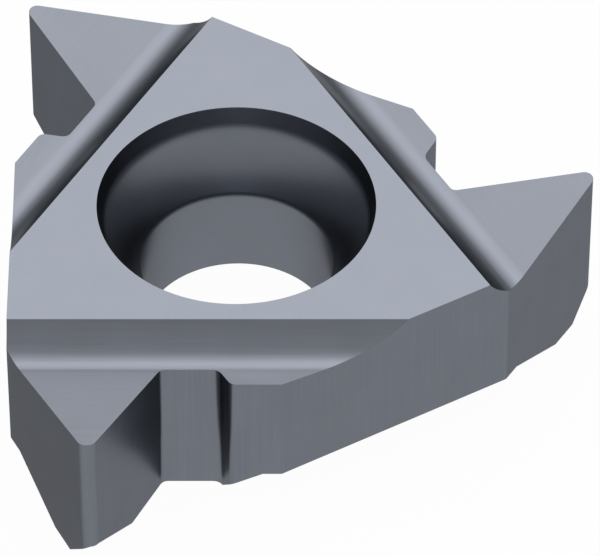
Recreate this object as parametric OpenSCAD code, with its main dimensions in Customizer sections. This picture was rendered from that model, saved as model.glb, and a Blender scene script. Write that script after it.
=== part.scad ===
// Laydown thread turning insert: one piece of cemented carbide with three teeth.
// Origin on the axis of the screw hole, at the level of the seat pad. +Z points up to the top land.
// One third of the shape is drawn on the -Y side, and the rest repeats it about the hole.

/* [Blank] */
// Diameter of the circle that touches the three long side facets
inscribed_d = 9.525; // [9.2:0.005:9.9]
// Height of the top land above the seat pad
thickness = 3.86; // [3.4:0.01:4.6]

/* [Tooth] */
// Angle between the two flanks of a tooth
tooth_angle = 55; // [53:0.5:60]
// Distance from a long side facet to the middle of the tooth beside it
tip_offset = 1.75; // [1.65:0.01:1.9]
// Distance from the hole axis to the end of the rounded tip
tip_reach = 7.0; // [6.8:0.01:7.05]
// Radius of the tip
tip_r = 0.22; // [0.1:0.01:0.3]

/* [Valley and land beside the tooth] */
// Distance from the hole axis to the valley wall
valley_reach = 4.43; // [4.2:0.01:4.5]
// Width of the valley floor, from the tooth to the ramp
valley_w = 1.19; // [0.9:0.01:1.5]
// Radius in the corner between the tooth and the valley wall
tooth_corner_r = 0.2; // [0.05:0.01:0.25]
// Radius in the corner between the valley wall and the ramp
ramp_corner_r = 0.24; // [0.05:0.01:0.26]
// Radius of the edge between the ramp and the land wall
ramp_edge_r = 0.2; // [0.05:0.01:0.22]
// Distance from the hole axis to the land wall
land_reach = 4.94; // [4.85:0.01:5.2]

/* [Chip groove and rake face] */
// Distance from the hole axis to the edge where the groove leaves the top land
groove_edge = 3.41; // [3.3:0.01:3.6]
// Radius of the groove
groove_r = 1.0; // [0.9:0.01:1.15]
// Slope of the rake face, which rises outward
rake_angle = 10; // [6:0.5:14]
// Depth of the rake face below the top land, at the distance of a long side facet
rake_depth = 0.4; // [0.34:0.01:0.5]

/* [Screw hole] */
// Diameter of the through hole
hole_d = 4.1; // [3.6:0.01:4.2]
// Diameter of the hole's mouth at the top land
mouth_d = 5.93; // [5.8:0.01:6.3]
// Depth of the steep wall under the mouth
mouth_depth = 0.5; // [0.4:0.01:0.7]
// Lean of the steep wall from the hole axis
mouth_lean = 12; // [8:0.5:16]
// Radius in the corner between the steep wall and the seat
mouth_corner_r = 0.5; // [0.2:0.01:0.6]
// Radius of the curved seat for the screw's head
seat_r = 4.4; // [4:0.05:5]
// Angle between the seat and the hole's wall
seat_angle = 23; // [22:0.5:26]
// Radius of the edge between the seat and the hole's wall
throat_r = 0.42; // [0.1:0.01:0.5]

/* [Seat pad] */
// Distance from the hole axis to each edge of the seat pad
pad_reach = 3.79; // [3.5:0.01:3.9]
// Height of the ledges around the pad, which rise to them at 45 degrees
ledge_h = 0.77; // [0.5:0.01:0.9]

/* [Hidden] */
$fn = 96;
// Distance from the hole axis to a long side facet
facet_reach = inscribed_d / 2;
// Size past everything, for shapes that cut, and how far they start outside the part
far = 2 * inscribed_d;
over = 1;
// How far a corner shape reaches past its walls, and the hair by which a round crosses its walls
past = 0.1;
hair = 0.0002;
// Directions in which the leading and trailing flank of the front tooth face
lead_dir = 180 + tooth_angle / 2;
trail_dir = -tooth_angle / 2;
// Middle line of the front tooth, and the point where its flanks would meet
tooth_x = tip_offset - facet_reach;
apex = [tooth_x, -tip_reach - tip_r / sin(tooth_angle / 2) + tip_r];
// Distances from the hole axis to the flanks and the ramp, which is parallel to the leading flank
lead_reach = apex * toward(lead_dir);
trail_reach = apex * toward(trail_dir);
valley_start = meet(trail_dir, trail_reach, -90, valley_reach);
valley_end = valley_start + [valley_w, 0];
ramp_reach = valley_end * toward(lead_dir);
// Groove section, as distance outward from the hole axis and height above the seat pad
rake_mark = [facet_reach, thickness - rake_depth];
rake_up = toward(90 + rake_angle);
edge_lift = ([groove_edge, thickness] - rake_mark) * rake_up;
edge_back = ([groove_edge, thickness] - rake_mark) * toward(rake_angle);
groove_back = edge_back + sqrt(pow(groove_r, 2) - pow(edge_lift - groove_r, 2));
groove_end = rake_mark + groove_back * toward(rake_angle);
groove_centre = groove_end + groove_r * rake_up;
// Hole section, as distance from the hole axis and height above the seat pad
hole_r = hole_d / 2;
wall_foot = [mouth_d / 2 - mouth_depth * tan(mouth_lean), thickness - mouth_depth];
seat_back = hole_r + seat_r * cos(seat_angle);
seat_centre = [seat_back, wall_foot.y - sqrt(pow(seat_r, 2) - pow(seat_back - wall_foot.x, 2))];
// Middle of the round corner, at its radius from the steep wall and from the seat
wall_up = toward(90 - mouth_lean);
wall_out = toward(180 - mouth_lean);
corner_from_seat = wall_foot + mouth_corner_r * wall_out - seat_centre;
corner_drop = corner_from_seat * wall_up;
corner_rise = sqrt(pow(corner_drop, 2) + pow(seat_r + mouth_corner_r, 2)
    - corner_from_seat * corner_from_seat) - corner_drop;
mouth_corner = seat_centre + corner_from_seat + corner_rise * wall_up;
// Middle of the round between the seat and the hole's wall
throat_x = hole_r + throat_r;
throat_rise = sqrt(pow(seat_r - throat_r, 2) - pow(seat_back - throat_x, 2));
throat = [throat_x, seat_centre.y + throat_rise];

// Unit arrow in a direction of the plane
function toward(angle) = [cos(angle), sin(angle)];

// Point where two straight walls meet, each given by the direction it faces and its distance
function meet(a, a_reach, b, b_reach) =
    [a_reach * sin(b) - b_reach * sin(a), b_reach * cos(a) - a_reach * cos(b)] / sin(b - a);

// Everything on the inner side of a straight wall
module behind(direction, reach) {
    rotate(direction) translate([reach - far, -far]) square([far, 2 * far]);
}

// What lies between a corner of two walls and its round. A positive radius gives the fill of an
// inside corner, and a negative one gives what comes off an outside corner.
module corner_round(a, a_reach, b, b_reach, r) {
    centre = meet(a, a_reach + r, b, b_reach + r);
    beyond = r > 0 ? past : -past;
    difference() {
        polygon([
            meet(a, a_reach - beyond, b, b_reach - beyond),
            centre - (r + beyond) * toward(a),
            centre,
            centre - (r + beyond) * toward(b)
        ]);
        translate(centre) circle(abs(r) + hair);
    }
}

// Land beside the tooth, which ends at the ramp down to the valley
module land_outline() {
    difference() {
        intersection() {
            behind(-90, land_reach);
            behind(lead_dir, ramp_reach);
        }
        corner_round(-90, land_reach, lead_dir, ramp_reach, -ramp_edge_r);
    }
}

// Front side, with the rest of the insert left full: tooth, valley and land in front of the leading
// flank, which also stops the land at its other end, and the round of the tip
module side_outline() {
    difference() {
        intersection() {
            behind(lead_dir, lead_reach);
            union() {
                behind(trail_dir, trail_reach);
                behind(-90, valley_reach);
                land_outline();
                corner_round(trail_dir, trail_reach, -90, valley_reach, tooth_corner_r);
                corner_round(-90, valley_reach, lead_dir, ramp_reach, ramp_corner_r);
            }
        }
        corner_round(lead_dir, lead_reach, trail_dir, trail_reach, -tip_r);
    }
}

// Seen from above: the three-sided blank, ground to a tooth, valley and land at each corner
module outline() {
    intersection() {
        circle(r = inscribed_d, $fn = 3);
        intersection_for(turn = [0, 120, 240]) rotate(turn) side_outline();
    }
}

// Cutting shape that runs along one side, from a section drawn outward and upward
module along_side(direction) {
    rotate([90, 0, direction]) linear_extrude(far, center = true) children();
}

// Section of what is ground away over the groove and the rake face
module groove_section() {
    translate(groove_centre) circle(groove_r + hair);
    rake_end = groove_end + far * toward(rake_angle);
    polygon([groove_centre, groove_end, rake_end, [groove_centre.x, rake_end.y]]);
}

// Section of what is missing under the ledge beside the seat pad
module ledge_section() {
    polygon([
        [pad_reach - over, -over],
        [pad_reach + ledge_h, ledge_h],
        [far, ledge_h],
        [far, -over]
    ]);
}

// Section of the metal in the round corner between the steep wall and the seat
module mouth_corner_fill() {
    reach = mouth_corner_r + past;
    difference() {
        polygon([
            mouth_corner,
            mouth_corner - reach * wall_out,
            wall_foot + 2 * past * [1, -1],
            mouth_corner + reach * (seat_centre - mouth_corner) / (seat_r + mouth_corner_r)
        ]);
        translate(mouth_corner) circle(mouth_corner_r + hair);
    }
}

// Section of the metal under the curved seat, above the line from its middle to the throat
module seat_section() {
    above = thickness + over;
    intersection() {
        translate(seat_centre) circle(seat_r);
        polygon([
            seat_centre,
            throat + (throat - seat_centre),
            [0, above],
            [seat_centre.x, above]
        ]);
    }
}

// Section of the mouth, to turn about the hole axis
module mouth_section() {
    above = thickness + over;
    lower = wall_foot - 2 * past * wall_up;
    difference() {
        polygon([
            [0, throat.y],
            throat,
            lower,
            wall_foot + (above - wall_foot.y) / wall_up.y * wall_up,
            [0, above]
        ]);
        seat_section();
        translate(throat) circle(throat_r + hair);
        mouth_corner_fill();
    }
}

module screw_hole() {
    translate([0, 0, -over]) cylinder(h = thickness, d = hole_d);
    rotate_extrude() mouth_section();
}

module insert() {
    color([0.62, 0.65, 0.70])
    difference() {
        linear_extrude(thickness) outline();
        for (direction = [-90, 30, 150]) along_side(direction) groove_section();
        for (direction = [-60, 60, 180]) along_side(direction) ledge_section();
        screw_hole();
    }
}

insert();
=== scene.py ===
# Thread turning insert: the finished look, its light and its camera
import bmesh
import bpy
import math
from mathutils import Matrix, Vector


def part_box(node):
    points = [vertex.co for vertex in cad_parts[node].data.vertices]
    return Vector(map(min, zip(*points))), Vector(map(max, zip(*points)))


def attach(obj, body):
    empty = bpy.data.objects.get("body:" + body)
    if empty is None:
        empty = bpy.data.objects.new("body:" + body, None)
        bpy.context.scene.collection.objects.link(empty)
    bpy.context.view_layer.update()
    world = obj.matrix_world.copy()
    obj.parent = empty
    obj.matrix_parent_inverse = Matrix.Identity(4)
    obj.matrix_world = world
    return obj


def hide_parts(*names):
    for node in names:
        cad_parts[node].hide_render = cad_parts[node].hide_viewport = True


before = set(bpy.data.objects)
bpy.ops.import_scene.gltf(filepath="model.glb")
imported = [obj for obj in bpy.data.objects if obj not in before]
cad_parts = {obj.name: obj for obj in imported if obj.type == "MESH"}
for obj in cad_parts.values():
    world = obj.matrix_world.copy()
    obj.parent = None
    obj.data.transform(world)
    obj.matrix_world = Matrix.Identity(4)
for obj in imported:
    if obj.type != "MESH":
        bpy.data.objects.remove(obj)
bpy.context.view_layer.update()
bpy.ops.object.select_all(action="DESELECT")

# The piece is modelled in millimetres and brought to metres at its end
mm = 0.001
cadLow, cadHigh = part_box("insert")

insertShape = {
    "facetReach": -cadLow[0] / mm,    # hole axis to a long side facet
    "thickness": cadHigh[2] / mm,
    "tipReach": -cadLow[1] / mm,      # hole axis to the end of a tip
    "toothAngle": 55,
    "tipOffset": 1.75,                # long side facet to the middle of its tooth
    # the tip, the valley's width and its corner are a hundredth or two off the CAD's, because the
    # photograph's edges lie there
    "tipRadius": 0.21,
    "valleyReach": 4.43,
    "valleyWidth": 1.2,
    "toothCorner": 0.18,
    "rampCorner": 0.24,
    "rampEdge": 0.2,
    "landReach": 4.94,
    "grooveEdge": 3.41,
    "grooveRadius": 1.0,
    "rakeAngle": 10,
    "rakeDepth": 0.4,                 # below the top land, at the long side facets
    "holeRadius": 2.05,
    "mouthRadius": 2.965,
    "mouthDepth": 0.5,
    "mouthLean": 12,
    "seatRadius": 4.4,
    "seatAngle": 23,                  # between the seat and the hole's wall
    "throatRadius": 0.42,
    "mouthCorner": 0.5,
    "padReach": 3.79,
    "ledgeHeight": 0.77,
    "edgeHone": 0.005,                # width of the honed edge
    "honeFrom": 15,                   # outside edges that turn by more degrees than this are honed
    # how many straight steps each round is drawn with, and the hole all round
    "tipSteps": 14,
    "cornerSteps": 6,
    "grooveSteps": 50,
    "seatSteps": 12,
    "holeSteps": 144,
}


def toward(angle):
    return Vector((math.cos(math.radians(angle)), math.sin(math.radians(angle))))


def meet(a, aReach, b, bReach):
    # where two straight walls meet, each given by the way it faces and its distance
    turn = math.sin(math.radians(b - a))
    na, nb = toward(a), toward(b)
    return Vector((aReach * nb.y - bReach * na.y, bReach * na.x - aReach * nb.x)) / turn


# Drawing an outline with one vertex, as by hand: extrude it for a line, spin it for an arc

def startOutline(name, place):
    bpy.ops.mesh.primitive_plane_add(size=1, location=place)
    piece = bpy.context.object
    piece.name = name
    bpy.ops.object.transform_apply(location=True)
    bpy.ops.object.mode_set(mode="EDIT")
    bpy.ops.mesh.select_mode(type="VERT")
    bpy.ops.mesh.merge(type="CENTER")
    return piece


def penPlace():
    mesh = bmesh.from_edit_mesh(bpy.context.object.data)
    return next(v.co.copy() for v in mesh.verts if v.select)


def lineTo(place):
    step = Vector(place) - penPlace()
    bpy.ops.mesh.extrude_region_move(TRANSFORM_OT_translate={"value": step})


def arcAbout(centre, degrees, axis, steps):
    bpy.ops.mesh.spin(steps=steps, angle=-math.radians(degrees), center=centre, axis=axis)


def closeOutline():
    bpy.ops.mesh.select_all(action="SELECT")
    bpy.ops.mesh.remove_doubles(threshold=1e-4)
    bpy.ops.mesh.edge_face_add()


def finishSolid():
    bpy.ops.mesh.select_all(action="SELECT")
    bpy.ops.mesh.normals_make_consistent(inside=False)
    bpy.ops.object.mode_set(mode="OBJECT")
    bpy.context.object.select_set(False)


# One third of the outline, seen from above, goes round the front tooth; the rest is its copies

def drawOutline(s):
    leadDir = 180 + s["toothAngle"] / 2
    trailDir = -s["toothAngle"] / 2
    halfSine = math.sin(math.radians(s["toothAngle"] / 2))
    tipCentre = Vector((s["tipOffset"] - s["facetReach"], s["tipRadius"] - s["tipReach"]))
    leadReach = tipCentre.dot(toward(leadDir)) + s["tipRadius"]
    trailReach = tipCentre.dot(toward(trailDir)) + s["tipRadius"]
    valleyStart = meet(trailDir, trailReach, -90, s["valleyReach"])
    rampReach = (valleyStart + Vector((s["valleyWidth"], 0))).dot(toward(leadDir))
    toothRound = meet(trailDir, trailReach + s["toothCorner"], -90, s["valleyReach"] + s["toothCorner"])
    rampRound = meet(-90, s["valleyReach"] + s["rampCorner"], leadDir, rampReach + s["rampCorner"])
    edgeRound = meet(-90, s["landReach"] - s["rampEdge"], leadDir, rampReach - s["rampEdge"])
    wallTurn = 90 + trailDir
    up = (0, 0, 1)

    def flat(place):
        return (place[0], place[1], 0)

    flankStart = meet(180, s["facetReach"], leadDir, leadReach)
    outline = startOutline("insertBody", flat(flankStart))
    lineTo(flat(tipCentre + s["tipRadius"] * toward(leadDir)))
    arcAbout(flat(tipCentre), 180 - s["toothAngle"], up, s["tipSteps"])
    lineTo(flat(toothRound - s["toothCorner"] * toward(trailDir)))
    arcAbout(flat(toothRound), -wallTurn, up, s["cornerSteps"])
    lineTo(flat(rampRound - s["rampCorner"] * toward(-90)))
    arcAbout(flat(rampRound), -wallTurn, up, s["cornerSteps"])
    lineTo(flat(edgeRound + s["rampEdge"] * toward(leadDir)))
    arcAbout(flat(edgeRound), wallTurn, up, s["cornerSteps"])
    lineTo(flat(meet(-90, s["landReach"], -60, s["facetReach"])))
    lineTo(flat(Matrix.Rotation(math.radians(120), 2) @ flankStart))
    bpy.ops.mesh.select_all(action="SELECT")
    bpy.ops.mesh.spin(steps=2, dupli=True, angle=math.radians(240), center=(0, 0, 0), axis=up)
    closeOutline()
    return outline


def cutAway(piece, cutter):
    # take the cutter's shape off the piece and throw the cutter away
    cut = piece.modifiers.new("cut", "BOOLEAN")
    cut.operation = "DIFFERENCE"
    cut.solver = "EXACT"
    cut.object = cutter
    bpy.context.view_layer.objects.active = piece
    bpy.ops.object.modifier_apply(modifier="cut")
    bpy.data.objects.remove(cutter)


def cutAlong(piece, section, directions):
    # run a section, drawn outward and upward, along the sides that face the given ways
    length = 40                       # well past both ends of a side
    for direction in directions:
        cutter = section()
        bpy.ops.mesh.extrude_region_move(TRANSFORM_OT_translate={"value": (0, length, 0)})
        bpy.ops.mesh.select_all(action="SELECT")
        bpy.ops.transform.translate(value=(0, -length / 2, 0))
        bpy.ops.mesh.normals_make_consistent(inside=False)
        bpy.ops.object.mode_set(mode="OBJECT")
        cutter.rotation_euler.z = math.radians(direction)
        bpy.ops.object.transform_apply(rotation=True)
        cutter.select_set(False)
        cutAway(piece, cutter)


def grooveSection():
    s = insertShape
    rakeOut = toward(s["rakeAngle"])
    rakeUp = toward(90 + s["rakeAngle"])
    mark = Vector((s["facetReach"], s["thickness"] - s["rakeDepth"]))
    edge = Vector((s["grooveEdge"], s["thickness"])) - mark
    lift = edge.dot(rakeUp) - s["grooveRadius"]
    end = mark + (edge.dot(rakeOut) + math.sqrt(s["grooveRadius"] ** 2 - lift ** 2)) * rakeOut
    centre = end + s["grooveRadius"] * rakeUp
    start = centre - Vector((s["grooveRadius"], 0))
    far = end + 8 * rakeOut
    section = startOutline("grooveCutter", (start.x, 0, start.y))
    arcAbout((centre.x, 0, centre.y), 90 + s["rakeAngle"], (0, -1, 0), s["grooveSteps"])
    lineTo((far.x, 0, far.y))
    lineTo((far.x, 0, far.y + 2))
    lineTo((start.x, 0, far.y + 2))
    closeOutline()
    return section


def ledgeSection():
    s = insertShape
    section = startOutline("ledgeCutter", (s["padReach"] - 1, 0, -1))
    lineTo((s["padReach"] + s["ledgeHeight"], 0, s["ledgeHeight"]))
    lineTo((12, 0, s["ledgeHeight"]))
    lineTo((12, 0, -1))
    closeOutline()
    return section


def holeCutter():
    s = insertShape
    lean = math.radians(s["mouthLean"])
    footReach = s["mouthRadius"] - s["mouthDepth"] * math.tan(lean)
    foot = Vector((footReach, s["thickness"] - s["mouthDepth"]))
    seatBack = s["holeRadius"] + s["seatRadius"] * math.cos(math.radians(s["seatAngle"]))
    seatDrop = math.sqrt(s["seatRadius"] ** 2 - (seatBack - foot.x) ** 2)
    seatCentre = Vector((seatBack, foot.y - seatDrop))
    throat = Vector((s["holeRadius"] + s["throatRadius"], seatCentre.y))
    throatReach = s["seatRadius"] - s["throatRadius"]
    throat.y += math.sqrt(throatReach ** 2 - (seatBack - throat.x) ** 2)
    throatAngle = math.degrees(math.acos((seatBack - throat.x) / throatReach))
    wallUp = toward(90 - s["mouthLean"])
    wallOut = toward(180 - s["mouthLean"])
    fromSeat = foot + s["mouthCorner"] * wallOut - seatCentre
    drop = fromSeat.dot(wallUp)
    reach = s["seatRadius"] + s["mouthCorner"]
    rise = math.sqrt(drop ** 2 + reach ** 2 - fromSeat.dot(fromSeat)) - drop
    corner = seatCentre + fromSeat + rise * wallUp
    seatAngle = math.degrees(math.acos((seatCentre.x - corner.x) / reach))
    cornerTurn = seatAngle - s["mouthLean"]
    above = s["thickness"] + 1
    cutter = startOutline("holeCutter", (0, 0, -1))
    lineTo((s["holeRadius"], 0, -1))
    lineTo((s["holeRadius"], 0, throat.y))
    arcAbout((throat.x, 0, throat.y), -throatAngle, (0, -1, 0), s["cornerSteps"])
    arcAbout((seatCentre.x, 0, seatCentre.y), throatAngle - seatAngle, (0, -1, 0), s["seatSteps"])
    arcAbout((corner.x, 0, corner.y), cornerTurn, (0, -1, 0), s["cornerSteps"])
    lineTo((foot.x + (above - foot.y) * math.tan(lean), 0, above))
    lineTo((0, 0, above))
    bpy.ops.mesh.select_all(action="SELECT")
    bpy.ops.mesh.spin(steps=s["holeSteps"], angle=2 * math.pi, center=(0, 0, 0), axis=(0, 0, 1))
    bpy.ops.mesh.select_all(action="SELECT")
    bpy.ops.mesh.remove_doubles(threshold=1e-4)
    finishSolid()
    return cutter


def honeEdges(piece, s):
    # a hair of a round on the outside edges, as the brush leaves it
    bpy.context.view_layer.objects.active = piece
    piece.select_set(True)
    bpy.ops.object.mode_set(mode="EDIT")
    bpy.ops.mesh.select_all(action="SELECT")
    bpy.ops.mesh.dissolve_limited(angle_limit=math.radians(0.1))
    bpy.ops.mesh.select_mode(type="EDGE")
    bpy.ops.mesh.select_all(action="DESELECT")
    mesh = bmesh.from_edit_mesh(piece.data)
    sharp = math.radians(s["honeFrom"])
    for edge in mesh.edges:
        edge.select_set(edge.is_convex and edge.calc_face_angle() > sharp)
    bmesh.update_edit_mesh(piece.data)
    bpy.ops.mesh.bevel(offset=s["edgeHone"], segments=3, profile=0.5, clamp_overlap=False)
    # where three honed edges meet, some corners all but coincide
    bpy.ops.mesh.select_all(action="SELECT")
    bpy.ops.mesh.remove_doubles(threshold=3e-4)
    bpy.ops.object.mode_set(mode="OBJECT")


def smoothRounds(piece):
    # rounds shade smooth and flats stay flat
    bpy.ops.object.shade_smooth_by_angle(angle=math.radians(30))
    even = piece.modifiers.new("even", "WEIGHTED_NORMAL")
    even.keep_sharp = True
    even.weight = 100
    bpy.ops.object.modifier_apply(modifier="even")


def toMetres(piece):
    bpy.ops.object.mode_set(mode="EDIT")
    bpy.ops.mesh.select_all(action="SELECT")
    bpy.ops.transform.resize(value=(mm, mm, mm), center_override=(0, 0, 0))
    bpy.ops.object.mode_set(mode="OBJECT")
    piece.select_set(False)


def makeInsert():
    s = insertShape
    piece = drawOutline(s)
    bpy.ops.mesh.extrude_region_move(TRANSFORM_OT_translate={"value": (0, 0, s["thickness"])})
    finishSolid()
    print("insert: outline drawn and raised")
    cutAlong(piece, grooveSection, (-90, 30, 150))
    cutAlong(piece, ledgeSection, (-60, 60, 180))
    print("insert: chip grooves and ledges cut")
    cutAway(piece, holeCutter())
    print("insert: screw hole cut")
    honeEdges(piece, s)
    smoothRounds(piece)
    toMetres(piece)
    print("insert: edges honed,", len(piece.data.polygons), "faces")
    return piece


# Materials

def linear(hexColour):
    parts = [int(hexColour[i:i + 2], 16) / 255 for i in (1, 3, 5)]
    return [p / 12.92 if p <= 0.04045 else ((p + 0.055) / 1.055) ** 2.4 for p in parts] + [1]


def addNode(tree, kind, settings=None, links=None):
    # one node, with its settings and what feeds it; a socket goes by its name or its number
    node = tree.nodes.new(kind)
    for name, value in (settings or {}).items():
        if isinstance(name, int) or name in node.inputs:
            node.inputs[name].default_value = value
        else:
            setattr(node, name, value)
    for name, source in (links or {}).items():
        tree.links.new(source, node.inputs[name])
    return node


def newMaterial(name):
    material = bpy.data.materials.new(name)
    material.use_nodes = True
    tree = material.node_tree
    tree.nodes.clear()
    return material, tree


carbideLook = {
    "darkTone": "#6B6F77",
    "lightTone": "#7B7F87",
    "edgeColour": "#BCBCBC",          # seen at a glance along the surface
    "roughness": 0.3,
    "roughnessSpread": 0.1,
    # in millimetres: wheel marks are really 0.005 to 0.02 wide and grains 0.001, too fine to show, so
    # the marks are drawn a few times as coarse and the grain about 35 times
    "markWidth": 0.05,
    "markLength": 2.5,
    "grainWidth": 0.035,
    "cloudWidth": 0.9,
    "cloudShare": 0.4,                # of the tone's drift, against that of the marks
    "markDepth": 0.0006,
    "topSkin": 0.002,                 # the lapped top lies in this last bit of the thickness
}


def groundCarbide():
    # Cemented tungsten carbide, a hard grey metal. A profiled wheel ground the sides from top to
    # bottom and a second one ran along the grooves, so the eye finds faint straight marks there. The
    # lapped top, and the hole that was left as sintered, only show an even, fine grain. All of it was
    # brushed, which gives the soft gloss.
    k = carbideLook
    material, tree = newMaterial("groundCarbide")
    spot = addNode(tree, "ShaderNodeTexCoord")
    place = addNode(tree, "ShaderNodeVectorMath", {"operation": "SCALE", "Scale": 1 / mm},
        {0: spot.outputs["Object"]})
    axes = addNode(tree, "ShaderNodeSeparateXYZ", links={0: place.outputs[0]})
    across = addNode(tree, "ShaderNodeVectorMath", {"operation": "MULTIPLY", 1: (1, 1, 0)},
        {0: place.outputs[0]})
    reach = addNode(tree, "ShaderNodeVectorMath", {"operation": "LENGTH"}, {0: across.outputs[0]})
    facing = addNode(tree, "ShaderNodeSeparateXYZ", links={0: spot.outputs["Normal"]})

    # where each finish lies: the hole's walls are nearer the axis than the mouth's edge, the walls
    # outside it stand upright, and the grooves face up but lie below the top
    outside = addNode(tree, "ShaderNodeMath", {"operation": "GREATER_THAN",
        1: insertShape["mouthRadius"]}, {0: reach.outputs["Value"]})
    lean = addNode(tree, "ShaderNodeMath", {"operation": "ABSOLUTE"}, {0: facing.outputs["Z"]})
    upright = addNode(tree, "ShaderNodeMath", {"operation": "LESS_THAN", 1: 0.5}, {0: lean.outputs[0]})
    facesUp = addNode(tree, "ShaderNodeMath", {"operation": "GREATER_THAN", 1: 0.2},
        {0: facing.outputs["Z"]})
    belowTop = addNode(tree, "ShaderNodeMath", {"operation": "LESS_THAN",
        1: insertShape["thickness"] - k["topSkin"]}, {0: axes.outputs["Z"]})
    grooved = addNode(tree, "ShaderNodeMath", {"operation": "MULTIPLY"},
        {0: facesUp.outputs[0], 1: belowTop.outputs[0]})

    # the three sides share one pattern, turned to each
    bearing = addNode(tree, "ShaderNodeMath", {"operation": "ARCTAN2"},
        {0: axes.outputs["Y"], 1: axes.outputs["X"]})
    fromFirst = addNode(tree, "ShaderNodeMath", {"operation": "ADD", 1: math.radians(150)},
        {0: bearing.outputs[0]})
    side = addNode(tree, "ShaderNodeMath", {"operation": "SNAP", 1: math.radians(120)},
        {0: fromFirst.outputs[0]})
    back = addNode(tree, "ShaderNodeMath", {"operation": "MULTIPLY", 1: -1}, {0: side.outputs[0]})
    turned = addNode(tree, "ShaderNodeVectorRotate", {"rotation_type": "Z_AXIS"},
        {"Vector": place.outputs[0], "Angle": back.outputs[0]})

    wide, long = 1 / k["markWidth"], 1 / k["markLength"]
    alongSize = addNode(tree, "ShaderNodeVectorMath", {"operation": "MULTIPLY", 1: (long, wide, wide)},
        {0: turned.outputs[0]})
    alongMarks = addNode(tree, "ShaderNodeTexNoise", {"Scale": 1, "Detail": 2},
        {"Vector": alongSize.outputs[0]})
    upSize = addNode(tree, "ShaderNodeVectorMath", {"operation": "MULTIPLY", 1: (wide, wide, long)},
        {0: place.outputs[0]})
    upMarks = addNode(tree, "ShaderNodeTexNoise", {"Scale": 1, "Detail": 2},
        {"Vector": upSize.outputs[0]})
    grain = addNode(tree, "ShaderNodeTexNoise", {"Scale": 1 / k["grainWidth"], "Detail": 2},
        {"Vector": place.outputs[0]})
    onGrooves = addNode(tree, "ShaderNodeMix", links={
        0: grooved.outputs[0], 2: grain.outputs[0], 3: alongMarks.outputs[0]})
    onSides = addNode(tree, "ShaderNodeMix", links={
        0: upright.outputs[0], 2: onGrooves.outputs[0], 3: upMarks.outputs[0]})
    marks = addNode(tree, "ShaderNodeMix", links={
        0: outside.outputs[0], 2: grain.outputs[0], 3: onSides.outputs[0]})

    # where the brush pressed more or less, the tone drifts a little over a millimetre
    cloud = addNode(tree, "ShaderNodeTexNoise", {"Scale": 1 / k["cloudWidth"], "Detail": 1},
        {"Vector": place.outputs[0]})
    tone = addNode(tree, "ShaderNodeMix", {0: k["cloudShare"]}, {
        2: marks.outputs[0], 3: cloud.outputs[0]})
    colour = addNode(tree, "ShaderNodeMix", {"data_type": "RGBA",
        6: linear(k["darkTone"]), 7: linear(k["lightTone"])}, {0: tone.outputs[0]})
    gloss = addNode(tree, "ShaderNodeMapRange", {
        "To Min": k["roughness"] - k["roughnessSpread"] / 2,
        "To Max": k["roughness"] + k["roughnessSpread"] / 2}, {"Value": tone.outputs[0]})
    relief = addNode(tree, "ShaderNodeBump", {"Distance": k["markDepth"] * mm},
        {"Height": marks.outputs[0]})
    shader = addNode(tree, "ShaderNodeBsdfPrincipled", {
        "Metallic": 1.0, "Specular Tint": linear(k["edgeColour"])}, {
        "Base Color": colour.outputs[2], "Roughness": gloss.outputs[0], "Normal": relief.outputs[0]})
    addNode(tree, "ShaderNodeOutputMaterial", links={"Surface": shader.outputs[0]})
    print("groundCarbide: marks", k["markWidth"], "mm wide, grain", k["grainWidth"], "mm")
    return material


# Camera, at the photograph's place

cameraView = {
    "elevation": 45.3667,             # degrees above the top land
    "aim": (1.350, -2.204),           # on the top land, in millimetres
    "distance": 129.48,
    "lens": 370.62,
    "sensor": 36,
}


def placeCamera():
    v = cameraView
    lens = bpy.data.cameras.new("photoCamera")
    lens.lens = v["lens"]
    lens.sensor_width = v["sensor"]
    lens.clip_start = 0.01
    camera = bpy.data.objects.new("photoCamera", lens)
    bpy.context.scene.collection.objects.link(camera)
    tilt = math.radians(v["elevation"])
    aim = Vector((v["aim"][0], v["aim"][1], insertShape["thickness"]))
    camera.location = mm * (aim + v["distance"] * Vector((0, -math.cos(tilt), math.sin(tilt))))
    camera.rotation_euler = (math.pi / 2 - tilt, 0, 0)
    bpy.context.scene.camera = camera
    print("camera:", v["elevation"], "degrees above the top,", v["distance"], "mm away")


# Floor and light

whiteSheet = {
    "colour": "#E8E8E8",
    "gap": 0.01,                      # millimetres under the seat pad
    "white": 0.97,                    # how much of it is plain white to the eye and to metal
    # its white as metal sees it, and a painted shade on the left: a dimmer patch that only metal sees,
    # which starts at these distances from the hole's axis, in millimetres, and is soft over a stretch of
    # this width
    "metalWhite": 0.96,
    "paintedShadeWhite": 0.66,
    "paintedShadeLeft": -3.2,
    "paintedShadeFront": -7.2,
    "paintedShadeSoft": 1.4,
}


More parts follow.
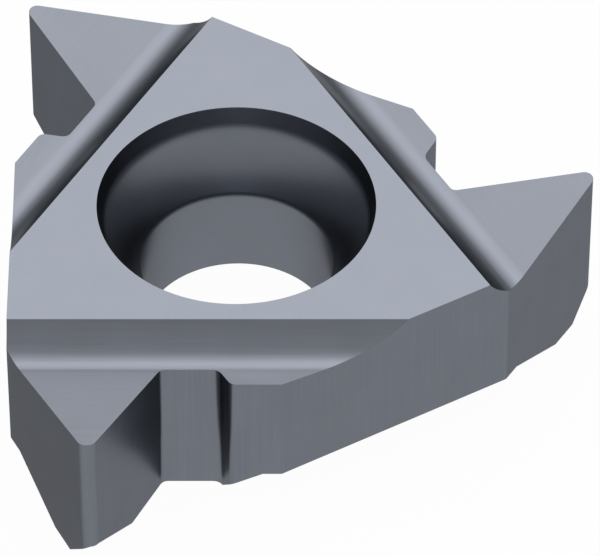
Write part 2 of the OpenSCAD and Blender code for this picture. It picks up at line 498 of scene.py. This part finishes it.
def makeFloor():
    # A matt white sheet that holds the shadow. The eye sees nearly all of it plain white, and so does
    # metal, but for a painted shade on the left: a soft grey patch that only metal sees, which darkens
    # the walls facing it.
    s = whiteSheet
    bpy.ops.mesh.primitive_plane_add(size=2, location=(0, 0, -mm * s["gap"]))
    floor = bpy.context.object
    floor.name = "floor"
    material, tree = newMaterial("whiteSheet")
    path = addNode(tree, "ShaderNodeLightPath")
    metal = addNode(tree, "ShaderNodeMath", {"operation": "ADD"},
        {0: path.outputs["Is Glossy Ray"], 1: path.outputs["Is Transmission Ray"]})
    seen = addNode(tree, "ShaderNodeMath", {"operation": "ADD", "use_clamp": True},
        {0: path.outputs["Is Camera Ray"], 1: metal.outputs[0]})
    share = addNode(tree, "ShaderNodeMath", {"operation": "MULTIPLY", 1: s["white"]},
        {0: seen.outputs[0]})
    spot = addNode(tree, "ShaderNodeTexCoord")
    axes = addNode(tree, "ShaderNodeSeparateXYZ", links={0: spot.outputs["Object"]})
    # painted shade: a patch on the left where metal sees the sheet dimmer than elsewhere; the eye never
    # sees it
    half = mm * s["paintedShadeSoft"] / 2
    left = addNode(tree, "ShaderNodeMapRange", {
        "interpolation_type": "SMOOTHSTEP", "To Min": 1, "To Max": 0,
        "From Min": mm * s["paintedShadeLeft"] - half, "From Max": mm * s["paintedShadeLeft"] + half},
        {"Value": axes.outputs["X"]})
    behind = addNode(tree, "ShaderNodeMapRange", {
        "interpolation_type": "SMOOTHSTEP",
        "From Min": mm * s["paintedShadeFront"] - half, "From Max": mm * s["paintedShadeFront"] + half},
        {"Value": axes.outputs["Y"]})
    paintedShadePatch = addNode(tree, "ShaderNodeMath", {"operation": "MULTIPLY"},
        {0: left.outputs[0], 1: behind.outputs[0]})
    toMetal = addNode(tree, "ShaderNodeMix", {2: s["metalWhite"], 3: s["paintedShadeWhite"]},
        {0: paintedShadePatch.outputs[0]})
    level = addNode(tree, "ShaderNodeMix", {3: 1},
        {0: path.outputs["Is Camera Ray"], 2: toMetal.outputs[0]})
    white = addNode(tree, "ShaderNodeEmission", links={"Strength": level.outputs[0]})
    sheet = addNode(tree, "ShaderNodeBsdfDiffuse", {"Color": linear(s["colour"])})
    both = addNode(tree, "ShaderNodeMixShader", links={
        0: share.outputs[0], 1: sheet.outputs[0], 2: white.outputs[0]})
    addNode(tree, "ShaderNodeOutputMaterial", links={"Surface": both.outputs[0]})
    floor.data.materials.append(material)
    floor.select_set(False)
    print("floor: white sheet")


studioRoom = {
    # the walls: bright above the front, falling off smoothly towards the horizon behind
    "wallsTowards": (0.02, -0.575, 0.818),
    "wallsFrom": -0.25,
    "wallsTo": 1.0,
    "wallsBright": 0.775,
    "wallsDim": 0.1,
    # the wide soft light behind, halfway up from the horizon
    "glowTowards": (0, 0.73, 0.68),
    "glowBright": 2.46,
    "glowWidth": 17.5,                # degrees
    # round below and wider above, like a sheet of light that leans overhead: its squeeze across goes
    # from 1 to this between these heights, as a share of the way up
    "glowSqueeze": 0.6,
    "squeezeFrom": 0.5,
    "squeezeTo": 0.85,
    # a weaker light on the left and another on the right
    "sideTowards": (0.77, 0, 0.64),
    "sideBright": 0.38,
    "sideWidth": 18,                  # degrees
}


def makeRoom():
    s = studioRoom
    room = bpy.data.worlds.new("studioRoom")
    room.use_nodes = True
    tree = room.node_tree
    tree.nodes.clear()
    spot = addNode(tree, "ShaderNodeTexCoord")
    way = spot.outputs["Generated"]
    facing = addNode(tree, "ShaderNodeVectorMath", {
        "operation": "DOT_PRODUCT", 1: Vector(s["wallsTowards"]).normalized()}, {0: way})
    walls = addNode(tree, "ShaderNodeMapRange", {
        "interpolation_type": "SMOOTHSTEP",
        "From Min": s["wallsFrom"], "From Max": s["wallsTo"],
        "To Min": s["wallsDim"], "To Max": s["wallsBright"]}, {"Value": facing.outputs["Value"]})

    def glow(place, towards, bright, width, level):
        # a soft light: bright x exp((cos - 1) / width squared), added to the level
        sharp = 1 / math.radians(width) ** 2
        near = addNode(tree, "ShaderNodeVectorMath", {
            "operation": "DOT_PRODUCT", 1: Vector(towards).normalized()}, {0: place})
        fall = addNode(tree, "ShaderNodeMath", {"operation": "MULTIPLY_ADD", 1: sharp, 2: -sharp},
            {0: near.outputs["Value"]})
        grow = addNode(tree, "ShaderNodeMath", {"operation": "EXPONENT"}, {0: fall.outputs[0]})
        total = addNode(tree, "ShaderNodeMath", {"operation": "MULTIPLY_ADD", 1: bright},
            {0: grow.outputs[0], 2: level})
        return total.outputs[0]

    axes = addNode(tree, "ShaderNodeSeparateXYZ", links={0: way})
    squeeze = addNode(tree, "ShaderNodeMapRange", {
        "interpolation_type": "SMOOTHSTEP", "From Min": s["squeezeFrom"], "From Max": s["squeezeTo"],
        "To Min": 1, "To Max": s["glowSqueeze"]}, {"Value": axes.outputs["Z"]})
    across = addNode(tree, "ShaderNodeMath", {"operation": "MULTIPLY"},
        {0: axes.outputs["X"], 1: squeeze.outputs[0]})
    squeezed = addNode(tree, "ShaderNodeCombineXYZ", links={
        "X": across.outputs[0], "Y": axes.outputs["Y"], "Z": axes.outputs["Z"]})
    evened = addNode(tree, "ShaderNodeVectorMath", {"operation": "NORMALIZE"}, {0: squeezed.outputs[0]})
    folded = addNode(tree, "ShaderNodeVectorMath", {"operation": "ABSOLUTE"}, {0: way})
    behind = glow(evened.outputs[0], s["glowTowards"], s["glowBright"], s["glowWidth"], walls.outputs[0])
    whole = glow(folded.outputs[0], s["sideTowards"], s["sideBright"], s["sideWidth"], behind)
    light = addNode(tree, "ShaderNodeBackground", {"Color": (1, 1, 1, 1)}, {"Strength": whole})
    addNode(tree, "ShaderNodeOutputWorld", links={"Surface": light.outputs[0]})
    bpy.context.scene.world = room
    print("room: soft light above, behind and at both sides")


placeCamera()
piece = makeInsert()
piece.data.materials.append(groundCarbide())
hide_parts("insert")
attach(piece, "root")
makeFloor()
makeRoom()
bpy.context.scene.view_settings.view_transform = "Standard"
